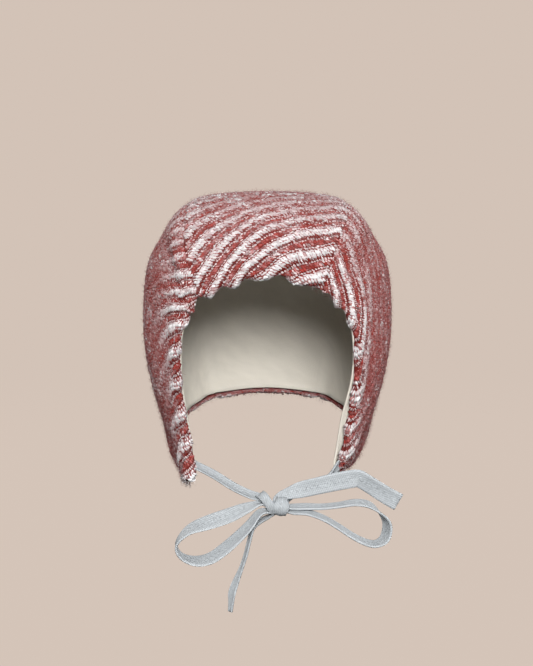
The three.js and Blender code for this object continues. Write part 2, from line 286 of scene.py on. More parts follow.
# Edges of a panel: the turned edge, and in millimetres how far from its end a tip is rounded and drops,
# the depths under the crown between which it comes to swell, and the heights between which the puffs of
# the front edge grow and the brushed wool draws back from it.
EDGE_RADIUS = 2.2 * MM
EDGE_TURN = np.radians(np.linspace(112, 0, 7)[:-1])
TIP_SWELL = 1.5 * MM
TIP_ROUND = 6
TIP_REACH = 16
SWELL_DEPTHS = (132, 148)
PUFF_WIDTH = 11 * MM
PUFF_HEIGHTS = (-80, -50)
BRUSHED_HEIGHTS = (-110, -50)
Cloth = namedtuple("Cloth", "points normals phase rib_height rest brushed white surface")


def lay_panel(panel, knit):
    """A knit panel as a grid: plain outer points and normals, stripe phase, and its relief."""
    grid = even_grid(panel.reference, panel.first, panel.last, knit.spacing)
    backs, columns, head, backward, outward = grid
    phase = panel.stripes(head, backs) + knit.waver * waver(head)
    swell = panel.swell * soft_step(-head[..., 2:] / MM, *SWELL_DEPTHS)
    end = panel.first if panel.first == 0 else LAST_COLUMN
    from_tip = np.linalg.norm(head - head_surface(backs, [end]), axis=-1, keepdims=True) / MM
    full = np.sqrt(1 - np.clip(1 - from_tip / TIP_ROUND, 0, 1) ** 2)
    to_rims = [np.linalg.norm(head - head[row], axis=-1, keepdims=True) for row in (0, -1)]
    to_rim = np.min(to_rims, axis=0) / MM
    sunk = knit.sink * soft_step(np.abs(outward[..., :1]), 0.2, 0.7) * soft_step(to_rim, 4, 20)
    thick = KNIT_OUTSIDE - sunk - LINING_WALL + TIP_SWELL * swell
    outer = head + outward * (LINING_WALL + thick * full)
    near = np.clip(1 - from_tip / TIP_REACH, 0, 1) ** 2
    near_front = bell((head[..., 1:2] / MM - FRONT_Y) / 26)
    outer += near * near_front * np.array((-panel.tuck, 0, -panel.drop)) * MM

    def rim(row, neighbour, way, turns):
        radius = EDGE_RADIUS * (1 + 0.8 * swell[row]) * (0.3 + 0.7 * full[row])
        centre = outer[row] - outward[row] * radius
        normals = [outward[row] * math.cos(t) + way * backward[row] * math.sin(t) for t in turns]
        points = [centre + n * radius for n in normals]
        gap = np.linalg.norm(outer[neighbour] - outer[row], axis=-1)
        climb = (phase[row] - phase[neighbour]) / gap
        phases = [phase[row] + climb * radius[:, 0] * t for t in turns]
        return np.array(points), np.array(normals), np.array(phases)

    front = rim(0, 1, -1, EDGE_TURN)
    neck = rim(-1, -2, 1, EDGE_TURN[::-1])
    points, normals, phase = (
        np.concatenate(parts) for parts in zip(front, (outer, outward, phase), neck)
    )
    inner = np.pad(head, ((len(EDGE_TURN), len(EDGE_TURN)), (0, 0), (0, 0)), mode="edge")
    from_edge = np.linalg.norm(inner - head[:1], axis=-1)
    seams = [c for c in (0, -1) if columns[c] in (LEFT_SEAM, RIGHT_SEAM)]
    to_seams = [np.linalg.norm(inner - inner[:, c : c + 1 or None], axis=-1) for c in seams]
    to_seam = np.min(to_seams, axis=0)
    height = inner[..., 2] / MM
    puffs = bell(from_edge / PUFF_WIDTH) * (0.5 + 1.2 * soft_step(height, *PUFF_HEIGHTS))
    reach = panel.low + (panel.high - panel.low) * soft_step(height, *BRUSHED_HEIGHTS)
    brushed = knit.felting * soft_step(from_edge / MM / reach, 0.1, 1)
    brushed = brushed * (1 - 0.5 * bell(to_seam / (14 * MM)))
    white = panel.white * np.exp(0.7 * waver(1.3 * inner + 0.05))
    rib_height = knit.rib * (0.7 + puffs) * (1 - 0.8 * bell(to_seam / (2 * MM))) * (1 - 0.6 * brushed)
    rest = 0.4 * MM * bell(from_edge / (8 * MM)) - knit.seam_depth * bell(to_seam / (2.4 * MM))
    surface = points + normals * (rib_height * rib(phase) + rest)[..., None]
    return Cloth(points, normals, phase, rib_height, rest, brushed, white, surface)


def rib(phase):
    """Height of the ribs over the cloth: 0.65 on the white crest and -0.35 in the red valley."""
    return 0.5 + 0.5 * np.cos(2 * math.pi * (phase - RIB_CENTRE)) - RIB_LEVEL


def sample(grid, at):
    """Values of a grid at fractional rows and columns."""
    low = np.minimum(at.astype(int), np.array(grid.shape[:2]) - 2)
    f = at - low
    r, c = low[:, 0], low[:, 1]
    fr, fc = (f[:, k].reshape((-1,) + (1,) * (grid.ndim - 2)) for k in (0, 1))
    top = grid[r, c] * (1 - fc) + grid[r, c + 1] * fc
    return top * (1 - fr) + (grid[r + 1, c] * (1 - fc) + grid[r + 1, c + 1] * fc) * fr


def stripe_lines(phase, level):
    """Lines of grid positions along which the phase is at a level."""
    above = phase > level
    links = defaultdict(list)
    corners = above[:-1, :-1].astype(int) + above[1:, :-1] + above[:-1, 1:] + above[1:, 1:]
    for r, c in zip(*np.nonzero((corners > 0) & (corners < 4))):
        a, b, d, e = (r, c), (r, c + 1), (r + 1, c), (r + 1, c + 1)
        cut = [pair for pair in ((a, b), (d, e), (a, d), (b, e)) if above[pair[0]] != above[pair[1]]]
        if len(cut) == 2:
            links[cut[0]].append(cut[1])
            links[cut[1]].append(cut[0])
    lines = []
    while links:
        here = next((pair for pair in links if len(links[pair]) == 1), next(iter(links)))
        line = []
        while here is not None:
            line.append(here)
            ahead = [pair for pair in links.pop(here) if pair in links]
            here = ahead[0] if ahead else None
        pairs = np.array(line, float)
        ends = np.array([[phase[tuple(map(int, p))] for p in pair] for pair in pairs])
        share = (level - ends[:, 0]) / (ends[:, 1] - ends[:, 0])
        lines.append(pairs[:, 0] + (pairs[:, 1] - pairs[:, 0]) * share[:, None])
    return [line for line in lines if len(line) > 2]


def stripe_frame(cloth):
    """Unit vectors along and up the stripes at each grid point, and the length of a repeat there."""
    e_row = np.gradient(cloth.points, axis=0)
    e_col = np.gradient(cloth.points, axis=1)
    p_row, p_col = np.gradient(cloth.phase)
    rr, rc, cc = ((a * b).sum(-1) for a, b in ((e_row, e_row), (e_row, e_col), (e_col, e_col)))
    det = np.maximum(rr * cc - rc * rc, 1e-18)
    slope = ((cc * p_row - rc * p_col) / det)[..., None] * e_row
    slope += ((rr * p_col - rc * p_row) / det)[..., None] * e_col
    steep = np.maximum(np.linalg.norm(slope, axis=-1), 1e-6)
    up = slope / steep[..., None]
    return unit(np.cross(up, cloth.normals)), up, 1 / steep


def new_object(name, mesh, material):
    """A piece at the origin, with its place in its mesh."""
    piece = bpy.data.objects.new(name, mesh)
    bpy.context.scene.collection.objects.link(piece)
    mesh.materials.append(material)
    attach(piece, "root")
    return piece


def thicken(piece, wall, offset):
    """Gives a cloth its wall, inward at offset -1 and outward at 1."""
    made = piece.modifiers.new("wall", "SOLIDIFY")
    made.thickness = wall
    made.offset = offset


def shade_smooth(mesh):
    mesh.polygons.foreach_set("use_smooth", np.ones(len(mesh.polygons), bool))


def point_values(mesh, name, values):
    """Stores a colour (4 columns) or vector (3 columns) for each point of a mesh."""
    values = np.asarray(values, np.float32)
    kind, field = ("FLOAT_COLOR", "color") if values.shape[1] == 4 else ("FLOAT_VECTOR", "vector")
    layer = mesh.attributes.new(name, kind, "POINT")
    layer.data.foreach_set(field, values.ravel())


def smooth_mesh(name, shape):
    """A smooth mesh of a shape that was made in bmesh."""
    mesh = bpy.data.meshes.new(name)
    shape.to_mesh(mesh)
    shape.free()
    shade_smooth(mesh)
    return mesh


def grid_mesh(name, points):
    """A mesh of a grid of points, made by bending a flat grid, and the row and column of each point."""
    rows, columns = points.shape[:2]
    flat = bmesh.new()
    bmesh.ops.create_grid(flat, x_segments=columns - 1, y_segments=rows - 1, size=0.5)
    order = np.empty((rows * columns, 2), int)
    for k, v in enumerate(flat.verts):
        order[k] = round((v.co.y + 0.5) * (rows - 1)), round((v.co.x + 0.5) * (columns - 1))
        v.co = points[order[k][0], order[k][1]]
    return smooth_mesh(name, flat), order


def bead(sides, rings=3):
    """Corners and faces of a small bead of few sides, its poles on Z and an edge on its top, +Y."""
    ball = bmesh.new()
    bmesh.ops.create_uvsphere(ball, u_segments=sides, v_segments=rings, radius=1)
    corners = np.array([v.co for v in ball.verts])
    faces = [[v.index for v in face.verts] for face in ball.faces]
    ball.free()
    return corners / np.abs(corners).max(axis=0), faces


def joined_mesh(name, corners, faces, tints, normals=None):
    """One mesh of many copies of a small shape, from the points of each copy and their yarn colours."""
    copies, points = corners.shape[:2]
    loops = np.concatenate(faces)
    totals = np.tile([len(face) for face in faces], copies)
    mesh = bpy.data.meshes.new(name)
    mesh.vertices.add(copies * points)
    mesh.vertices.foreach_set("co", corners.astype(np.float32).ravel())
    mesh.loops.add(copies * len(loops))
    mesh.loops.foreach_set("vertex_index", (loops + points * np.arange(copies)[:, None]).ravel())
    mesh.polygons.add(len(totals))
    mesh.polygons.foreach_set("loop_start", np.concatenate(([0], np.cumsum(totals)[:-1])))
    mesh.update(calc_edges=True)
    shade_smooth(mesh)
    if normals is not None:
        mesh.normals_split_custom_set_from_vertices(normals.reshape(-1, 3))
    point_values(mesh, "yarn", with_alpha(tints))
    return mesh


# Yarns as shares of the white and the red one.
YARNS = {
    "white": (1, 0),
    # painted shade: the white darkened and tinged pink, worn by the lower rib for the shaded lower side of
    # each rib
    "shaded_white": (0.82, 0.08),
    "pale": (0.78, 0.22),
    "pink": (0.55, 0.45),
    "rose": (0.25, 0.75),
    "red": (0, 1),
    # painted shade: dark is the red darkened, for the shade in the gaps between stitches and on the ground
    # behind them
    "dark": (0, 0.55),
}
LIGHT_YARNS = ("white", "shaded_white", "pale")
FIBRE_YARNS = ("white", "pink", "red", "dark")


def yarn_colours(knit):
    white, red = np.array(knit.white), np.array(knit.red)
    return {name: w * white + r * red for name, (w, r) in YARNS.items()}


def felted(colours, brushed, white, knit, chance):
    """Colours drawn towards a speckled mix of both yarns by the share that the wool is brushed."""
    share = np.minimum(white * chance.exponential(1, brushed.shape), MOST_WHITE)[..., None]
    # partly painted shade: the brushed mix is darkened where the cloth turns away from the light
    mixed = BRUSHED_SHADE * (share * np.array(knit.white) + (1 - share) * np.array(knit.red))
    return colours + (mixed - colours) * brushed[..., None]


# Yarns of the ground behind the stitches by their place in the repeat, a little darker than the stitches:
# painted shade, as the ground lies sunk between them, and the dark bands are painted shade under the gap
# stitches.
GROUND_TONES = {
    0: "red", 0.12: "red", 0.2: "dark", 0.32: "dark", 0.4: "red", 0.5: "rose",
    0.64: "rose", 0.7: "red", 0.78: "dark", 0.9: "dark", 1: "red",
}
GROUND_SHADE = 0.8


def cloth_colours(cloth, knit, chance):
    """Colour of the ground of a panel behind its stitches."""
    yarn = yarn_colours(knit)
    tones = np.array([GROUND_SHADE * yarn[tone] for tone in GROUND_TONES.values()])
    share = cloth.phase % 1
    colour = np.stack([np.interp(share, list(GROUND_TONES), tone) for tone in tones.T], axis=-1)
    return felted(colour, cloth.brushed, cloth.white, knit, chance)


# Stitches: where a course starts, in pitches, the columns left free at its ends, the spreads of pitch and
# size as shares, of lean in degrees, and of place on the stripe and height, and the step for its slope.
COURSE_START = 0.3
FREE_COLUMNS = 0.25
PITCH_SPREAD = 0.1
SIZE_SPREAD = 0.14
LEAN_SPREAD = 10
PLACE_SPREAD = 0.12 * MM
HEIGHT_SPREAD = 0.06 * MM
SLOPE_STEP = 0.02


def course_places(cloth, course, pitch, chance):
    """Grid positions of the stitches of a course, on every repeat of a panel."""
    places = []
    for level in range(math.floor(cloth.phase.min()), math.ceil(cloth.phase.max())):
        for line in stripe_lines(cloth.phase, level + course.share):
            run = lengths_along(sample(cloth.surface, line))
            at = np.arange((COURSE_START + course.shift) * pitch, run[-1], pitch)
            at = at + chance.normal(0, PITCH_SPREAD * pitch, len(at))
            places.append(np.stack([np.interp(at, run, line[:, k]) for k in (0, 1)], axis=1))
    places = np.concatenate(places)
    last = cloth.phase.shape[1] - 1
    return places[(places[:, 1] > FREE_COLUMNS) & (places[:, 1] < last - FREE_COLUMNS)]


# Flecks: how often a stitch has a strong one and how much it adds, the most that a stitch is flecked, and
# the spread of brightness of light and dark stitches, and its limits.
STRONG_OFTEN = 0.12
STRONG_FLECK = 0.4
MOST_FLECK = 0.8
LIGHT_SPREAD = 0.1
DARK_SPREAD = 0.25
BRIGHTNESS = (0.45, 1.3)


def marl(yarn, course, patches, white, knit, chance):
    """Colours of a course's stitches: its yarn, flecked with the other one, more in some patches."""
    count = len(patches)
    light = course.yarn in LIGHT_YARNS
    often = STRONG_OFTEN + 0.1 * patches[:, None]
    fleck = np.abs(chance.normal(0, knit.fleck, (count, 1))) * (1 + 0.8 * patches[:, None])
    fleck = fleck + STRONG_FLECK * (chance.random((count, 1)) < often)
    more = white[:, None] / WHITE_SHARE
    fleck = np.minimum(fleck / more if light else fleck * more, MOST_FLECK)
    other = yarn["red"] if light else yarn["white"]
    spread = LIGHT_SPREAD if light else DARK_SPREAD
    shade = np.clip(chance.normal(1, spread, (count, 1)), *BRIGHTNESS)
    return (yarn[course.yarn] * (1 - fleck) + other * fleck) * shade


def course_stitches(cloth, course, slant, knit, chance):
    """Corners, colours and soft normals of the stitches of a course, as beads laid on the stripe."""
    along, up, repeat = stripe_frame(cloth)
    full = math.radians(course.lean)
    ratio = abs(math.sin(full) / math.sin(slant * full))
    places = course_places(cloth, course, course.pitch * ratio * MM * knit.stitch, chance)
    count = len(places)
    corners, _ = bead(SIDES[course.piece])
    t, b, n = (unit(sample(grid, places))[:, None] for grid in (along, up, cloth.normals))
    size = chance.normal(1, SIZE_SPREAD, (count, 1))
    brushed = sample(cloth.brushed, places)
    lean = chance.normal(0, LEAN_SPREAD, (count, 1)) * (1 + 2 * brushed[:, None])
    lean = np.radians(slant * course.lean + lean)
    stretch = np.clip(sample(repeat, places) / REPEAT, 0.5, 1.8)[:, None]
    run = corners[:, 2] * course.length * ratio / 2 * MM * size
    side = corners[:, 0] * course.width / 2 * MM * size * (1 - 0.25 * corners[:, 2])
    x = run * np.cos(lean) - side * np.sin(lean)
    y = (run * np.sin(lean) + side * np.cos(lean)) * stretch
    y = y + chance.normal(0, PLACE_SPREAD, (count, 1)) * (1 + 8 * brushed[:, None])
    height = sample(cloth.rib_height, places)[:, None]
    share = course.share + y / (stretch * REPEAT)
    slope = rib(share + SLOPE_STEP) - rib(share - SLOPE_STEP)
    slope = height * slope / (2 * SLOPE_STEP * stretch * REPEAT)
    lift = height * rib(share) + sample(cloth.rest, places)[:, None] + knit.proud
    lift = lift + chance.normal(0, HEIGHT_SPREAD, (count, 1))
    z = lift + corners[:, 1] * course.thick / 2 * MM * size
    body = sample(cloth.points, places)[:, None] + x[..., None] * t + y[..., None] * b + z[..., None] * n
    patches = waver(1.6 * sample(cloth.points, places) + 0.03)
    white = sample(cloth.white, places)
    tint = marl(yarn_colours(knit), course, patches, white, knit, chance)
    tint = felted(tint, brushed, white, knit, chance)
    soft = unit(unit(body - body.mean(axis=1, keepdims=True)) + SOFTNESS * (n - slope[..., None] * b))
    return body, np.repeat(tint[:, None], len(corners), axis=1), soft


def with_alpha(colours):
    flat = colours.reshape(-1, 3)
    return np.concatenate((np.clip(flat, 0, 1), np.ones((len(flat), 1))), axis=1)


# Ribbon: routes of the ties as in the solids, in one run from the bonnet through the bow to the end. Turn
# is 0 where the ribbon faces forward and 90 where it shows its edge, and cup is the depth of its hollow.
Stop = namedtuple("Stop", "x y z width turn cup", defaults=[0])
LEFT_STRAP = (
    Stop(-43.4, -53.5, -145.4, 6, 50, 0.6),
    Stop(-40.6, -55.4, -146.8, 5.6, 50, 0.8),
    Stop(-30, -62, -151, 5.8, 50, 1.1),
    Stop(-19, -69, -156.5, 5.8, 50, 1.1),
    Stop(-10, -73, -160, 5.6, 48, 1),
    Stop(-3.6, -76, -161.1, 5, 40),
)
LEFT_LOOP = (
    Stop(-5.1, -79, -164, 5, 112),
    Stop(-12, -80, -166.3, 8, 130),
    Stop(-21, -81, -170, 9.5, 138),
    Stop(-32, -82, -173.6, 10, 132),
    Stop(-42, -82.5, -177.2, 10, 114),
    Stop(-48, -82.5, -182.5, 9, 100),
    Stop(-50, -82.5, -187.5, 9, 91),
    Stop(-47, -82.5, -192.5, 9, 82),
    Stop(-39.5, -83, -195, 10, 70),
    Stop(-31.5, -83.5, -193.5, 10, 62),
    Stop(-24, -83.5, -188.5, 10, 58),
    Stop(-16.5, -83.5, -182, 9, 55, 0.3),
    Stop(-10.5, -83, -176, 8, 55, 0.4),
    Stop(-4.2, -81, -168.6, 6, 60, 0.4),
)
LEFT_TAIL = (
    Stop(1.2, -76.8, -171.4, 4, 100),
    Stop(-3.5, -76, -174, 3.6, 124),
    Stop(-8, -76.5, -178, 3.2, 128),
    Stop(-10, -77, -185, 2.8, 130),
    Stop(-12, -77.5, -193, 2.8, 130),
    Stop(-14.5, -78, -200.5, 3, 132),
    Stop(-17.5, -78.5, -208, 4.6, 138),
    Stop(-19.5, -79, -214, 5.2, 140),
    Stop(-20, -79, -219.5, 3.8, 136),
    Stop(-20.5, -79, -224.5, 3.2, 130),
)
RIGHT_STRAP = (
    Stop(40.6, -56.6, -145.5, 6, 45, 0.6),
    Stop(34.5, -61.5, -152, 7, 58, 1),
    Stop(24.5, -66, -156, 7, 60, 1),
    Stop(16.5, -69.5, -159, 6, 50, 0.8),
    Stop(10.2, -74.2, -162.9, 5, 40),
)
RIGHT_LOOP = (
    Stop(14.2, -78.5, -165.8, 5, 62),
    Stop(21, -79, -165.5, 5.4, 62),
    Stop(29.5, -79.5, -165.5, 5.4, 68),
    Stop(39, -80, -164.5, 5.6, 70),
    Stop(48, -80.5, -163, 6.4, 68),
    Stop(55.5, -81, -164, 8, 76),
    Stop(61.5, -81.5, -168.5, 9.5, 98),
    Stop(65.5, -82, -174.5, 10, 116),
    Stop(64.5, -82, -182, 10, 116),
    Stop(60, -82, -185.5, 8, 108),
    Stop(54.5, -82, -185, 6.4, 112),
    Stop(47, -81.5, -181.5, 5.6, 114),
    Stop(38.5, -81, -176, 5.4, 114),
    Stop(30.5, -80.5, -171.5, 5.2, 114),
    Stop(22, -80, -168.6, 5, 116),
    Stop(13.9, -79.3, -168.2, 4.8, 116),
)
RIGHT_TAIL = (
    Stop(7, -77, -160.2, 4.8, 18),
    Stop(12.5, -77, -158.3, 7, 12),
    Stop(18.5, -77, -156.5, 9, 10),
    Stop(28, -78.5, -154, 9.5, 6),
    Stop(38, -79.5, -151.5, 10, 4),
    Stop(46, -80.2, -149.9, 10, 2),
    Stop(49.6, -80.5, -149.6, 10, -4),
    Stop(52.4, -80.3, -151, 10, -12),
    Stop(58, -79.5, -154.6, 10, -13),
    Stop(65, -79, -159.2, 10, -8),
    Stop(72, -78.5, -163.2, 10, -2),
)
LEFT_IN_KNOT = (Stop(1, -77.5, -163, 4, 45), Stop(-1, -79, -164.6, 4, 60))
LEFT_OUT_OF_KNOT = (Stop(1.5, -80, -168, 4, 70), Stop(3.6, -78.2, -169.6, 4, 74))
RIGHT_IN_KNOT = (Stop(6.5, -76.5, -165, 4, 60), Stop(9, -78.4, -165.6, 4, 70))
RIGHT_OUT_OF_KNOT = (Stop(7.5, -79, -167.5, 4, 60), Stop(4.6, -78, -163, 4, 30))
Tie = namedtuple("Tie", "name route nodes")
TIES = (
    Tie(
        "tie_left",
        LEFT_STRAP + LEFT_IN_KNOT + LEFT_LOOP + LEFT_OUT_OF_KNOT + LEFT_TAIL,
        ("tie_strap_left", "tie_loop_left", "tie_tail_left"),
    ),
    Tie(
        "tie_right",
        RIGHT_STRAP + RIGHT_IN_KNOT + RIGHT_LOOP + RIGHT_OUT_OF_KNOT + RIGHT_TAIL,
        ("tie_strap_right", "tie_loop_right", "tie_tail_right"),
    ),
)
FORWARD = np.array((0.0, -1.0, 0.0))

# Section of the ribbon: points across a face, and its brightness, with the painted highlight that the
# edges add and the painted shade that a hollow of a millimetre takes away.
TAPE_POINTS = 13
TAPE_SHADE = 0.94
EDGE_HIGHLIGHT = 0.16
HOLLOW_SHADE = 0.05


def tape_line(route, spacing):
    """Even steps along a route: centres, the direction across the tape, its widths and its hollows."""
    table = np.array(route, float)
    at = np.linspace(0, len(table) - 1, 40 * len(table))
    fine = spline_weights(len(table), at) @ table
    steps = even_steps(at, fine[:, :3], spacing / MM)
    line = spline_weights(len(table), steps) @ table
    centres = line[:, :3] * MM
    along = unit(np.gradient(centres, axis=0))
    facing = unit(FORWARD - along * (along @ FORWARD)[:, None])
    turn = np.radians(line[:, 4:5])
    wide = unit(np.cross(along, facing) * np.cos(turn) + facing * np.sin(turn))
    return centres, wide, line[:, 3] * MM, line[:, 5] * MM


def tape_mesh(name, centres, wide, widths, hollows, ribbon):
    """A flat tape with thicker edges along a line of centres, hollow to the front where it is cupped."""
    along = unit(np.gradient(centres, axis=0))
    wide = unit(wide - along * (along * wide).sum(-1, keepdims=True))
    thick = np.cross(along, wide)
    across = np.sin(np.linspace(-0.5, 0.5, TAPE_POINTS) * math.pi)
    bulge = np.sqrt(np.maximum(1 - across**8, 0)) * (0.5 + 0.5 * bell((np.abs(across) - 0.8) / 0.16))
    loop_across = np.concatenate((across, across[-2::-1]))
    loop_bulge = np.concatenate((bulge, -bulge[-2::-1])) * ribbon.thickness / 2
    half = widths[:, None] / 2 * loop_across
    front = np.sign(thick @ FORWARD)[:, None]
    lift = loop_bulge[None, :] + front * hollows[:, None] * (loop_across**2 - 0.5)
    points = centres[:, None] + half[..., None] * wide[:, None] + lift[..., None] * thick[:, None]
    mesh, order = grid_mesh(name, points)
    run = lengths_along(centres)
    # painted highlight on the tape's edges and painted shade in its cupped middle, kept as the third value
    # of the tape's place
    edge = loop_across**4
    shade = TAPE_SHADE + EDGE_HIGHLIGHT * edge
    shade = shade - HOLLOW_SHADE * np.maximum(hollows, 0)[:, None] / MM * (1 - edge)
    place = np.stack((half, np.broadcast_to(run[:, None], half.shape), shade), axis=-1)
    point_values(mesh, "tape", place[order[:, 0], order[:, 1]])
    weld_tape(mesh)
    return mesh


def weld_tape(mesh):
    """Joins the long edges of a tape and closes its ends."""
    tape = bmesh.new()
    tape.from_mesh(mesh)
    bmesh.ops.remove_doubles(tape, verts=tape.verts, dist=1e-7)
    bmesh.ops.holes_fill(tape, edges=[e for e in tape.edges if e.is_boundary], sides=0)
    bmesh.ops.recalc_face_normals(tape, faces=tape.faces)
    tape.to_mesh(mesh)
    tape.free()


# Knot: the tape wrapped round the bow, and the end of the left strap folded over beside it, by the places
# and widths along it. Both are crowned to the front.
Wrap = namedtuple("Wrap", "x y z radius growth width pinch crown start turns tilt steps")
WRAP = Wrap(7.5, -78.6, -165.6, 3.9, 0.9, 9.0, 0.3, 1.3, 150, 1.12, 0.1, 56)
FOLD_WIDE = (0.8, -0.1, 0.6)
FOLD_CROWN = 1.0
FOLD_STEPS = 30
FOLD = (
    (-4.6, -74, -160.5, 5.0),
    (-3.6, -78, -158.9, 5.4),
    (-2.0, -81.2, -159.8, 5.4),
    (0.3, -82.6, -162.8, 5.2),
    (2.2, -82.4, -165.8, 5.0),
    (3.6, -80.6, -168.2, 4.6),
    (4.4, -78, -168.4, 4.4),
)


def knot_mesh(ribbon):
    """The wrap and the folded strap end of the knot, in one mesh."""
    turn = np.radians(np.linspace(WRAP.start, WRAP.start + 360 * WRAP.turns, WRAP.steps))
    radius = (WRAP.radius + WRAP.growth * np.linspace(0, 1, WRAP.steps)) * MM
    centre = np.array((WRAP.x, WRAP.y, WRAP.z)) * MM
    ring = centre + np.stack((0 * turn, -radius * np.cos(turn), radius * np.sin(turn)), axis=1)
    ring[:, 0] += WRAP.tilt * (ring[:, 2] - centre[2])
    wide = np.tile((1.0, 0.0, -WRAP.tilt), (WRAP.steps, 1))
    widths = WRAP.width * MM * (1 - WRAP.pinch * np.sin(turn) ** 2)
    wrap = tape_mesh("wrap", ring, wide, widths, -np.full(WRAP.steps, WRAP.crown * MM), ribbon)
    steps = np.linspace(0, len(FOLD) - 1, FOLD_STEPS)
    line = spline_weights(len(FOLD), steps) @ np.array(FOLD) * MM
    wide = np.tile(FOLD_WIDE, (FOLD_STEPS, 1))
    crown = -np.full(FOLD_STEPS, FOLD_CROWN * MM)
    fold = tape_mesh("fold", line[:, :3], wide, line[:, 3], crown, ribbon)
    knot = bmesh.new()
    for part in (wrap, fold):
        knot.from_mesh(part)
        bpy.data.meshes.remove(part)
    return smooth_mesh("bow_knot", knot)


# Seam ridges and the sewn hem of the lining.
SEAM_RIDGE = 0.7 * MM
SEAM_WIDTH = 1.6 * MM
HEM_GROOVE = 0.35 * MM
HEM_WIDTH = 1.4 * MM
HEM_PLACE = 6 * MM


def lining_mesh(lining):
    """The lining's inner face, with seam ridges, a hem and soft folds."""
    backs, _, head, backward, outward = even_grid(MIDDLE, 0, LAST_COLUMN, lining.spacing, 2 * FINE)
    head[0] -= backward[0] * lining.lip
    back_steps = np.diff(head, axis=0, prepend=head[:1])
    run_back = np.cumsum(np.linalg.norm(back_steps, axis=-1), axis=0)
    across_steps = np.diff(head, axis=1, prepend=head[:, :1])
    run_across = np.cumsum(np.linalg.norm(across_steps, axis=-1), axis=1)
    x, y, z = np.moveaxis(head, -1, 0) / MM
    folds = np.sin(y / 7.3 + 0.05 * z + 1.2 * np.sin(z / 23)) * bell((z + 95) / 45)
    folds += 0.7 * np.sin(z / 9.1 + 0.06 * y + np.sin(x / 17))
    folds *= lining.fold_depth
    seam = np.zeros_like(folds)
    for column in (LEFT_SEAM, RIGHT_SEAM):
        line = head_surface(backs, [column])
        seam = np.maximum(seam, bell(np.linalg.norm(head - line, axis=-1) / SEAM_WIDTH))
    hem = bell((run_back - HEM_PLACE) / HEM_WIDTH)
    slack = bell(run_back / (7 * MM)) * soft_step(x, 20, 40) * soft_step(-z, 85, 125)
    inward = np.clip(folds, -0.4 * MM, 1 * MM) + SEAM_RIDGE * seam - HEM_GROOVE * hem + lining.slack * slack
    mesh, order = grid_mesh("lining", head - outward * inward[..., None])
    place = np.stack((run_across, run_back, hem), axis=-1)[order[:, 0], order[:, 1]]
    point_values(mesh, "cloth", place)
    return mesh


# Loose fibres all over a panel but its last row and column, and wisps that droop from the first columns of
# one that swells, in mixes of the fibre yarns.
FREE_END = 1.01
LOOSE_MIX = (0.25, 0.25, 0.38, 0.12)
WISP_MIX = (0.6, 0.3, 0.1, 0)
WISPS = 300
WISP_COLUMNS = 0.03
WISP_DROOP = 2.5
FIBRE_BEAD = (3, 2)
FIBRE_RISES = (0.1, 0.9)
FIBRE_LENGTHS = (0.6, 1.5)
FIBRE_CURL = 0.25
FIBRE_ROOT = 0.4 * MM


def fibres(cloth, at, droop, mix, knit, chance):
    """Corners and colours of loose fibres, in a mix of yarns, that stand off a panel at places or droop."""
    count = len(at)
    corners, _ = bead(*FIBRE_BEAD)
    along, up, _ = stripe_frame(cloth)
    t, b, n = (unit(sample(g, at))[:, None] for g in (along, up, cloth.normals))
    root = sample(cloth.points, at)[:, None] + n * FIBRE_ROOT
    heading = chance.uniform(0, 2 * math.pi, (count, 1, 1))
    rise = chance.uniform(*FIBRE_RISES, (count, 1, 1))
    way = unit(t * np.cos(heading) + b * np.sin(heading) + n * rise + droop * np.array((0, 0, -1.0)))
    side = unit(np.cross(way, n))
    lift = np.cross(side, way)
    length = chance.uniform(*FIBRE_LENGTHS, (count, 1, 1)) * knit.fibre_length
    share = (corners[None, :, 2:3] + 1) / 2
    curl = chance.normal(0, FIBRE_CURL, (count, 1, 1)) * length * share**2
    body = root + way * share * length + side * curl
    body = body + (side * corners[None, :, 0:1] + lift * corners[None, :, 1:2]) * knit.fibre_radius
    yarn = yarn_colours(knit)
    choice = chance.choice(len(FIBRE_YARNS), count, p=mix)
    tint = np.array([yarn[name] for name in FIBRE_YARNS])[choice]
    tint = felted(tint, sample(cloth.brushed, at), sample(cloth.white, at), knit, chance)
    return body, np.repeat(tint[:, None], len(corners), axis=1)


def feed(tree, socket, value):
    """Links a socket to an output, or sets its value."""
    if isinstance(value, bpy.types.NodeSocket):
        tree.links.new(value, socket)
    else:
        socket.default_value = value


def add_node(tree, kind, options=None, **sockets):
    """Adds a shader node; sockets are values, or outputs to link, by input name with _ for a space."""
    made = tree.nodes.new("ShaderNode" + kind)
    for key, value in (options or {}).items():
        setattr(made, key, value)
    for key, value in sockets.items():
        feed(tree, made.inputs[key.replace("_", " ")], value)
    return made


def calculate(tree, operation, *terms):
    """Adds a maths node and gives its result."""
    made = add_node(tree, "Math", {"operation": operation})
    for socket, term in zip(made.inputs, terms):
        feed(tree, socket, term)
    return made.outputs[0]


def wave(tree, along, spacing):
    """Adds a sine wave with a spacing and gives its result."""
    return calculate(tree, "SINE", calculate(tree, "MULTIPLY", along, 2 * math.pi / spacing))


def stored_place(tree, name):
    """Adds a place stored on the piece and gives it whole and in parts."""
    place = add_node(tree, "Attribute", {"attribute_name": name}).outputs["Vector"]
    return place, add_node(tree, "SeparateXYZ", Vector=place).outputs


def start_group(name):
    """An empty shader group that takes a colour and gives a colour and a height."""
    group = bpy.data.node_groups.new(name, "ShaderNodeTree")
    for way in ("INPUT", "OUTPUT"):
        group.interface.new_socket("Colour", in_out=way, socket_type="NodeSocketColor")
    group.interface.new_socket("Height", in_out="OUTPUT", socket_type="NodeSocketFloat")
    return group


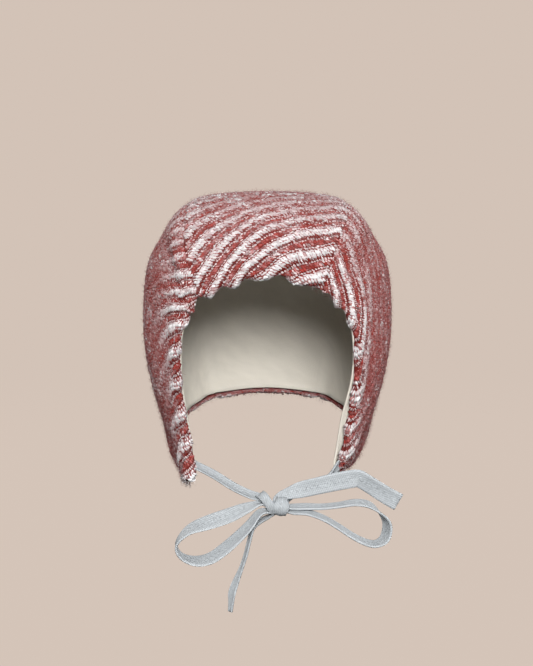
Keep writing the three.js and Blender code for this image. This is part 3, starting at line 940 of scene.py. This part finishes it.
def end_group(group, bright, height):
    """Ends a shader group: its colour is the one taken, by a brightness."""
    entry = group.nodes.new("NodeGroupInput")
    result = group.nodes.new("NodeGroupOutput")
    tint = add_node(group, "HueSaturation", Value=bright, Color=entry.outputs["Colour"])
    group.links.new(tint.outputs[0], result.inputs["Colour"])
    group.links.new(height, result.inputs["Height"])
    return group


def wool_group():
    """Wool: fine fibres that vary the yarn's colour and roughen its surface."""
    group = start_group("wool")
    place = add_node(group, "TexCoord").outputs["Object"]
    broad = add_node(group, "TexNoise", Vector=place, Scale=260.0, Detail=3.0).outputs[0]
    fine = add_node(group, "TexNoise", Vector=place, Scale=2600.0, Detail=2.0).outputs[0]
    share = calculate(group, "MULTIPLY_ADD", broad, 0.5, calculate(group, "MULTIPLY", fine, 0.5))
    return end_group(group, calculate(group, "MULTIPLY_ADD", share, 0.7, 0.65), fine)


def jersey_group():
    """Fine cotton jersey: narrow columns of knit loops."""
    group = start_group("jersey")
    place, parts = stored_place(group, "cloth")
    wale = wave(group, parts["X"], 0.0011)
    loop = wave(group, calculate(group, "MULTIPLY_ADD", wale, 0.0002, parts["Y"]), 0.0009)
    height = calculate(group, "MULTIPLY_ADD", calculate(group, "MULTIPLY", wale, loop), 0.25, 0.5)
    soil = add_node(group, "TexNoise", Vector=place, Scale=90.0, Detail=4.0).outputs[0]
    bright = calculate(group, "MULTIPLY_ADD", height, 0.14, 0.8)
    bright = calculate(group, "MULTIPLY_ADD", soil, 0.25, bright)
    return end_group(group, bright, height)


def ribbon_group():
    """Ribbon: a fine twill weave with bright flecks, with a painted highlight at its edges and painted shade
    in its hollows.
    """
    group = start_group("ribbon")
    place, parts = stored_place(group, "tape")
    twill = wave(group, calculate(group, "MULTIPLY_ADD", parts["X"], 0.8, parts["Y"]), 0.0013)
    thread = wave(group, parts["X"], 0.0011)
    grain = add_node(group, "TexNoise", Vector=place, Scale=900.0, Detail=2.0).outputs[0]
    weave = calculate(group, "MULTIPLY_ADD", twill, 0.3, calculate(group, "MULTIPLY", thread, 0.2))
    height = calculate(group, "MULTIPLY_ADD", grain, 3.2, weave)
    bright = calculate(group, "MULTIPLY_ADD", height, 0.42, 0.33)
    # the third value of the tape's place carries the painted highlight of the edges and the painted shade of
    # the hollows
    return end_group(group, calculate(group, "MULTIPLY", bright, parts["Z"]), height)


def new_material(name, **sockets):
    """A material with its nodes and shader; sockets are values by input name with _ for a space."""
    material = bpy.data.materials.new(name)
    material.use_nodes = True
    shader = material.node_tree.nodes["Principled BSDF"]
    for key, value in sockets.items():
        shader.inputs[key.replace("_", " ")].default_value = value
    return material, material.node_tree, shader


BUMP_DEPTH = 0.0004


def cloth_material(name, group, bump, roughness, gloss, colour=None):
    """A cloth finish from a shader group, in one colour or in the yarns stored on the piece."""
    material, tree, shader = new_material(name, Roughness=roughness, Specular_IOR_Level=gloss)
    weave = add_node(tree, "Group", {"node_tree": group})
    if colour is None:
        tone = add_node(tree, "Attribute", {"attribute_name": "yarn"}).outputs["Color"]
    else:
        tone = (*colour, 1)
    feed(tree, weave.inputs["Colour"], tone)
    relief = add_node(tree, "Bump", Strength=bump, Distance=BUMP_DEPTH, Height=weave.outputs["Height"])
    tree.links.new(weave.outputs["Colour"], shader.inputs["Base Color"])
    tree.links.new(relief.outputs[0], shader.inputs["Normal"])
    return material


def colour_setting(name, description, default):
    return bpy.props.FloatVectorProperty(
        name=name, description=description, subtype="COLOR", default=default
    )


def length_setting(name, description, default):
    return bpy.props.FloatProperty(name=name, description=description, default=default, unit="LENGTH")


def share_setting(name, description, default):
    return bpy.props.FloatProperty(name=name, description=description, default=default)


class BonnetKnit(bpy.types.PropertyGroup):
    """Sizes and yarns of the knitted panels."""

    white: colour_setting("White yarn", "Colour of the white yarn", (0.71, 0.71, 0.725))
    red: colour_setting("Red yarn", "Colour of the brick red yarn", (0.28, 0.039, 0.032))
    spacing: length_setting("Ground spacing", "Mesh spacing of the ground", 0.0018)
    wall: length_setting("Ground wall", "Thickness of the ground", 0.001)
    rib: length_setting("Rib height", "Height of the white ribs", 0.0014)
    sink: length_setting("Sink", "Depth of the ground in the solids' wall at the sides", 0.0018)
    seam_depth: length_setting("Seam depth", "Depth of the groove at the seams", 0.0006)
    waver: share_setting("Waver", "How far the stripes wander, in repeats", 0.06)
    stitch: share_setting("Stitch pitch", "Share of the usual stitch pitch", 1.0)
    proud: length_setting("Stitch rise", "Height of the stitches over the ground", 0.0001)
    felting: share_setting("Felting", "How far the brushed wool blends its colours", 0.86)
    fleck: share_setting("Fleck", "How far each stitch is flecked with the other yarn", 0.12)
    fibre_length: length_setting("Fibre length", "Usual length of a loose fibre", 0.0035)
    fibre_radius: length_setting("Fibre radius", "Radius of a loose fibre", 0.00004)
    fibre_count: bpy.props.IntProperty(name="Fibres", description="Loose fibres on each panel", default=4500)


class BonnetLining(bpy.types.PropertyGroup):
    """Sizes and colour of the cotton lining."""

    colour: colour_setting("Cotton", "Colour of the lining", (0.62, 0.585, 0.52))
    spacing: length_setting("Spacing", "Mesh spacing of the lining", 0.0034)
    lip: length_setting("Lip", "How far the lining reaches into the knit's turned edge", 0.0014)
    slack: length_setting("Slack", "How far the lining hangs in from the knit low on the right", 0.0036)
    fold_depth: length_setting("Fold depth", "Height of the soft folds", 0.0004)


class BonnetRibbon(bpy.types.PropertyGroup):
    """Sizes and colour of the ribbon ties."""

    colour: colour_setting("Ribbon", "Colour of the ribbon", (0.37, 0.397, 0.42))
    width: length_setting("Width", "Width of the ribbon laid flat", 0.01)
    thickness: length_setting("Thickness", "Thickness at the folded edges", 0.0016)
    spacing: length_setting("Spacing", "Mesh spacing along the ribbon", 0.0011)


class BonnetStage(bpy.types.PropertyGroup):
    """The plain stage, its lights and the camera."""

    backdrop: colour_setting("Backdrop", "Colour of the floor and backdrop", (0.65, 0.545, 0.474))
    glow: share_setting("Backdrop glow", "Light that the backdrop gives off", 0.995)
    floor_height: length_setting("Floor", "Height of the floor", -0.42)
    elevation: bpy.props.FloatProperty(
        name="Camera elevation",
        description="Angle of the view above level",
        default=math.radians(6),
        unit="ROTATION",
    )
    distance: length_setting("Camera distance", "Camera to the aim point", 0.95)
    frame_height: length_setting("Frame height", "Height of the view at the aim point", 0.3696)
    aim: bpy.props.FloatVectorProperty(
        name="Aim",
        description="Point in the middle of the view",
        subtype="XYZ",
        unit="LENGTH",
        default=(-0.0005, -0.058, -0.072),
    )


class BONNET_OT_knit(bpy.types.Operator):
    """Make the ground of the three knitted panels and the stitches on it"""

    bl_idname = "bonnet.knit"
    bl_label = "Knitted panels"

    def execute(self, context):
        knit = context.scene.bonnet_knit
        wool = cloth_material("wool", wool_group(), bump=0.5, roughness=0.95, gloss=0.06)
        chance = np.random.default_rng(SEED)
        for panel in PANELS:
            cloth = lay_panel(panel, knit)
            mesh, order = grid_mesh("ground_" + panel.name, cloth.surface)
            colours = cloth_colours(cloth, knit, chance)[order[:, 0], order[:, 1]]
            point_values(mesh, "yarn", with_alpha(colours))
            ground = new_object("ground_" + panel.name, mesh, wool)
            thicken(ground, knit.wall, -1)
            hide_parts(panel.node)
            meshes = []
            for label, sides in SIDES.items():
                courses = [course for course in COURSES if course.piece == label]
                made = [course_stitches(cloth, course, panel.lean, knit, chance) for course in courses]
                corners, tints, normals = (np.concatenate(parts) for parts in zip(*made))
                meshes.append(joined_mesh(label + "_" + panel.name, corners, bead(sides)[1], tints, normals))
            span = np.array(cloth.phase.shape) - FREE_END
            places = chance.random((knit.fibre_count, 2)) * span
            loose = fibres(cloth, places, 0, LOOSE_MIX, knit, chance)
            places = chance.random((round(WISPS * panel.swell), 2)) * span * (1, WISP_COLUMNS)
            wisps = fibres(cloth, places, WISP_DROOP, WISP_MIX, knit, chance)
            corners, tints = (np.concatenate(parts) for parts in zip(loose, wisps))
            meshes.append(joined_mesh("fibres_" + panel.name, corners, bead(*FIBRE_BEAD)[1], tints))
            pieces = [new_object(mesh.name, mesh, wool) for mesh in meshes]
        return {"FINISHED"}


class BONNET_OT_lining(bpy.types.Operator):
    """Make the cotton lining"""

    bl_idname = "bonnet.lining"
    bl_label = "Lining"

    def execute(self, context):
        lining = context.scene.bonnet_lining
        cotton = cloth_material(
            "cotton_jersey", jersey_group(), bump=0.35, roughness=0.9, gloss=0.15, colour=lining.colour
        )
        piece = new_object("lining_cloth", lining_mesh(lining), cotton)
        thicken(piece, LINING_WALL, 1)
        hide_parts("lining")
        return {"FINISHED"}


class BONNET_OT_ties(bpy.types.Operator):
    """Make the two ribbon ties and the knot of their bow"""

    bl_idname = "bonnet.ties"
    bl_label = "Ties and bow"

    def execute(self, context):
        ribbon = context.scene.bonnet_ribbon
        twill = cloth_material(
            "ribbon_twill", ribbon_group(), bump=0.15, roughness=0.6, gloss=0.3, colour=ribbon.colour
        )
        knot = new_object("knot_wraps", knot_mesh(ribbon), twill)
        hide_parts("bow_knot")
        for tie in TIES:
            centres, wide, widths, hollows = tape_line(tie.route, ribbon.spacing)
            mesh = tape_mesh(tie.name, centres, wide, widths, hollows, ribbon)
            piece = new_object(tie.name, mesh, twill)
            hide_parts(*tie.nodes)
            tuple(centres[0])
            float(lengths_along(centres)[-1])
            [knot] if tie is TIES[0] else []
        return {"FINISHED"}


# Stage: a round cove with a curved rise, the lamps with their places, sizes and powers, and faint light all
# round.
COVE_REACH = 3.5
COVE_HEIGHT = 3.5
COVE_RADIUS = 1.0
COVE_STEPS = 64
PAPER_SHADE = 0.02
LAMP_COLOUR = (1.0, 0.99, 0.975)
ROOM_COLOUR = (1.0, 0.97, 0.93, 1)
ROOM_LIGHT = 0.2
Lamp = namedtuple("Lamp", "name place size power")
LAMPS = (
    Lamp("key", (0.12, -1.7, 0.55), 0.6, 39.5),
    Lamp("fill left", (-1.5, -0.9, 0.2), 1.2, 10),
    Lamp("fill right", (1.5, -0.9, 0.2), 1.2, 8),
    Lamp("low", (0.1, -1.5, -0.7), 1.0, 9),
    Lamp("top", (-0.1, -0.5, 1.7), 1.0, 5),
    Lamp("back left", (-1.1, 1.7, 0.6), 1.2, 18),
    Lamp("back right", (1.1, 1.7, 0.6), 1.2, 18),
)


def cove_mesh(low):
    """A round floor that curves up into a wall all round."""
    cove = bmesh.new()
    inside = COVE_REACH - COVE_RADIUS
    profile = [(0.0, low), (inside, low)]
    for turn in range(0, 91, 10):
        a = math.radians(turn)
        profile.append((COVE_REACH - COVE_RADIUS * (1 - math.sin(a)), low + COVE_RADIUS * (1 - math.cos(a))))
    profile.append((COVE_REACH, low + COVE_HEIGHT))
    verts = [cove.verts.new((r, 0, z)) for r, z in profile]
    edges = [cove.edges.new(pair) for pair in zip(verts, verts[1:])]
    bmesh.ops.spin(
        cove,
        geom=verts + edges,
        cent=(0, 0, 0),
        axis=(0, 0, 1),
        angle=2 * math.pi,
        steps=COVE_STEPS,
        use_merge=True,
    )
    bmesh.ops.remove_doubles(cove, verts=cove.verts, dist=1e-6)
    return smooth_mesh("cove", cove)


def paper_material(stage):
    """The backdrop's finish, which glows to the camera alone and lights nothing."""
    colour = (*(PAPER_SHADE * c for c in stage.backdrop), 1)
    paper, tree, shader = new_material("backdrop", Base_Color=colour, Roughness=0.9, Specular_IOR_Level=0)
    shader.inputs["Emission Strength"].default_value = stage.glow
    seen = add_node(tree, "LightPath").outputs["Is Camera Ray"]
    glow = add_node(tree, "Mix", {"data_type": "RGBA"}, Factor=seen)
    first, second, shown = glow.inputs[6], glow.inputs[7], glow.outputs[2]
    first.default_value = (0, 0, 0, 1)
    second.default_value = (*stage.backdrop, 1)
    tree.links.new(shown, shader.inputs["Emission Color"])
    return paper


class BONNET_OT_stage(bpy.types.Operator):
    """Make the floor and backdrop, the lights and the camera"""

    bl_idname = "bonnet.stage"
    bl_label = "Stage"

    def execute(self, context):
        scene = context.scene
        stage = scene.bonnet_stage
        aim = Vector(stage.aim)
        mesh = cove_mesh(stage.floor_height)
        mesh.materials.append(paper_material(stage))
        backdrop = bpy.data.objects.new("backdrop", mesh)
        scene.collection.objects.link(backdrop)
        for lamp in LAMPS:
            light = bpy.data.lights.new(lamp.name, "AREA")
            light.shape = "DISK"
            light.size = lamp.size
            light.energy = lamp.power
            light.color = LAMP_COLOUR
            piece = bpy.data.objects.new(lamp.name, light)
            piece.location = lamp.place
            piece.rotation_euler = (aim - Vector(lamp.place)).to_track_quat("-Z", "Y").to_euler()
            scene.collection.objects.link(piece)
        scene.world = bpy.data.worlds.new("studio")
        scene.world.use_nodes = True
        room = scene.world.node_tree.nodes["Background"].inputs
        room["Color"].default_value = ROOM_COLOUR
        room["Strength"].default_value = ROOM_LIGHT
        scene.view_settings.view_transform = "Standard"
        lens = bpy.data.cameras.new("camera")
        lens.sensor_fit = "VERTICAL"
        lens.lens = lens.sensor_height * stage.distance / stage.frame_height
        camera = bpy.data.objects.new("camera", lens)
        back = Vector((0, -math.cos(stage.elevation), math.sin(stage.elevation)))
        camera.location = aim + back * stage.distance
        camera.rotation_euler = (math.pi / 2 - stage.elevation, 0, 0)
        scene.collection.objects.link(camera)
        scene.camera = camera
        return {"FINISHED"}


class BONNET_PT_sidebar(bpy.types.Panel):
    """Sizes of the bonnet and the buttons that build it"""

    bl_label = "Bonnet"
    bl_idname = "BONNET_PT_sidebar"
    bl_space_type = "VIEW_3D"
    bl_region_type = "UI"
    bl_category = "Bonnet"

    def draw(self, context):
        for key, settings, operator in BUILD:
            box = self.layout.box()
            for name in settings.__annotations__:
                box.prop(getattr(context.scene, key), name)
            box.operator(operator.bl_idname)


BUILD = (
    ("bonnet_knit", BonnetKnit, BONNET_OT_knit),
    ("bonnet_lining", BonnetLining, BONNET_OT_lining),
    ("bonnet_ribbon", BonnetRibbon, BONNET_OT_ties),
    ("bonnet_stage", BonnetStage, BONNET_OT_stage),
)


def register():
    for key, settings, operator in BUILD:
        bpy.utils.register_class(settings)
        bpy.utils.register_class(operator)
        setattr(bpy.types.Scene, key, bpy.props.PointerProperty(type=settings))
    bpy.utils.register_class(BONNET_PT_sidebar)


def unregister():
    bpy.utils.unregister_class(BONNET_PT_sidebar)
    for key, settings, operator in reversed(BUILD):
        delattr(bpy.types.Scene, key)
        bpy.utils.unregister_class(operator)
        bpy.utils.unregister_class(settings)


def main():
    register()
    bpy.ops.bonnet.knit()
    bpy.ops.bonnet.lining()
    bpy.ops.bonnet.ties()
    bpy.ops.bonnet.stage()


if __name__ == "__main__":
    main()
